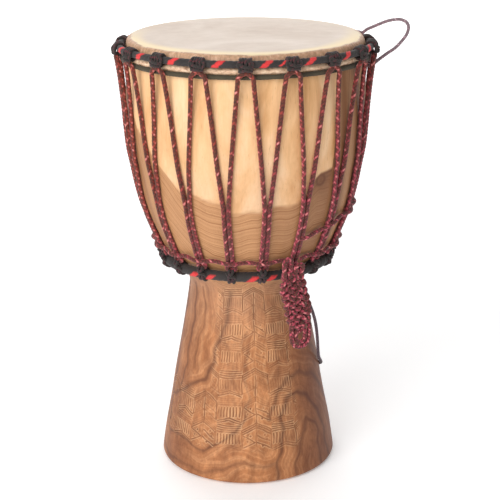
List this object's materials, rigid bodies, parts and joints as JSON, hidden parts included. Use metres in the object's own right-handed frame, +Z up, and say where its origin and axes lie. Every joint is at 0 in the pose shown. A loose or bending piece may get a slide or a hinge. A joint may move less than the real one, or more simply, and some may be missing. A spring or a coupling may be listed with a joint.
{
  "type": "djembe drum",
  "caption": "Goblet-shaped wooden hand drum with a goatskin head laced down by rope between a crown ring and a bottom ring.",
  "frame": {"origin": "centre of the foot, on the floor it stands on", "axes": "+Z up along the drum's axis, -Y towards the player's view of the front, +X to the right of it"},
  "size_m": [0.3969, 0.352, 0.613],
  "materials": {
    "carved_wood": "oiled hardwood, pale sapwood on the bowl, brown heartwood below, carved foot",
    "goatskin": "shaved goat hide, cream, hair left on below the rim",
    "ring_steel": "bent and welded rod",
    "black_cloth": "black cloth strip with bright red windings",
    "olive_cloth": "dark olive cloth strip",
    "hitch_cord": "black braided cord",
    "braided_rope": "braided rope, dark brown with red flecks",
    "thin_cord": "thin grey-mauve braided cord"
  },
  "bodies": {
    "drum": {"shell": "carved_wood", "skin": "goatskin", "flesh_ring": "ring_steel", "crown_ring": "ring_steel", "crown_ring_wrap": "black_cloth", "under_ring": "ring_steel", "under_ring_wrap": "olive_cloth", "bottom_ring": "ring_steel", "bottom_ring_wrap": "black_cloth", "lacing_rope": "braided_rope", "weave_rope": "braided_rope", "handle_tie_front": "thin_cord", "handle_tie_rear": "thin_cord", "hanging_cord": "thin_cord", "hanging_cord_knot": "thin_cord", "crown_hitch_01": "hitch_cord", "crown_hitch_02": "hitch_cord", "crown_hitch_03": "hitch_cord", "crown_hitch_04": "hitch_cord", "crown_hitch_05": "hitch_cord", "crown_hitch_06": "hitch_cord", "crown_hitch_07": "hitch_cord", "crown_hitch_08": "hitch_cord", "crown_hitch_09": "hitch_cord", "crown_hitch_10": "hitch_cord", "crown_hitch_11": "hitch_cord", "crown_hitch_12": "hitch_cord", "crown_hitch_13": "hitch_cord", "crown_hitch_14": "hitch_cord", "crown_hitch_15": "hitch_cord", "crown_hitch_16": "hitch_cord", "crown_hitch_17": "hitch_cord", "crown_hitch_18": "hitch_cord", "bottom_hitch_01": "hitch_cord", "bottom_hitch_02": "hitch_cord", "bottom_hitch_03": "hitch_cord", "bottom_hitch_04": "hitch_cord", "bottom_hitch_05": "hitch_cord", "bottom_hitch_06": "hitch_cord", "bottom_hitch_07": "hitch_cord", "bottom_hitch_08": "hitch_cord", "bottom_hitch_09": "hitch_cord", "bottom_hitch_10": "hitch_cord", "bottom_hitch_11": "hitch_cord", "bottom_hitch_12": "hitch_cord", "bottom_hitch_13": "hitch_cord", "bottom_hitch_14": "hitch_cord", "bottom_hitch_15": "hitch_cord", "bottom_hitch_16": "hitch_cord", "bottom_hitch_17": "hitch_cord", "bottom_hitch_18": "hitch_cord"},
    "tail": {"rope_tail": "braided_rope"},
    "handle": {"handle_loop": "thin_cord"}
  },
  "joints": [
    {"name": "tail_swing", "type": "hinge", "parent": "drum", "child": "tail", "pos_m": [0.06625, -0.11475, 0.312], "axis": [-0.866, -0.5, 0], "range_deg": [0, 75]},
    {"name": "handle_swing", "type": "hinge", "parent": "drum", "child": "handle", "pos_m": [0.1774, 0.0187, 0.5602], "axis": [-0.0735, 0.7317, 0.6777], "range_deg": [-30, 50]}
  ]
}
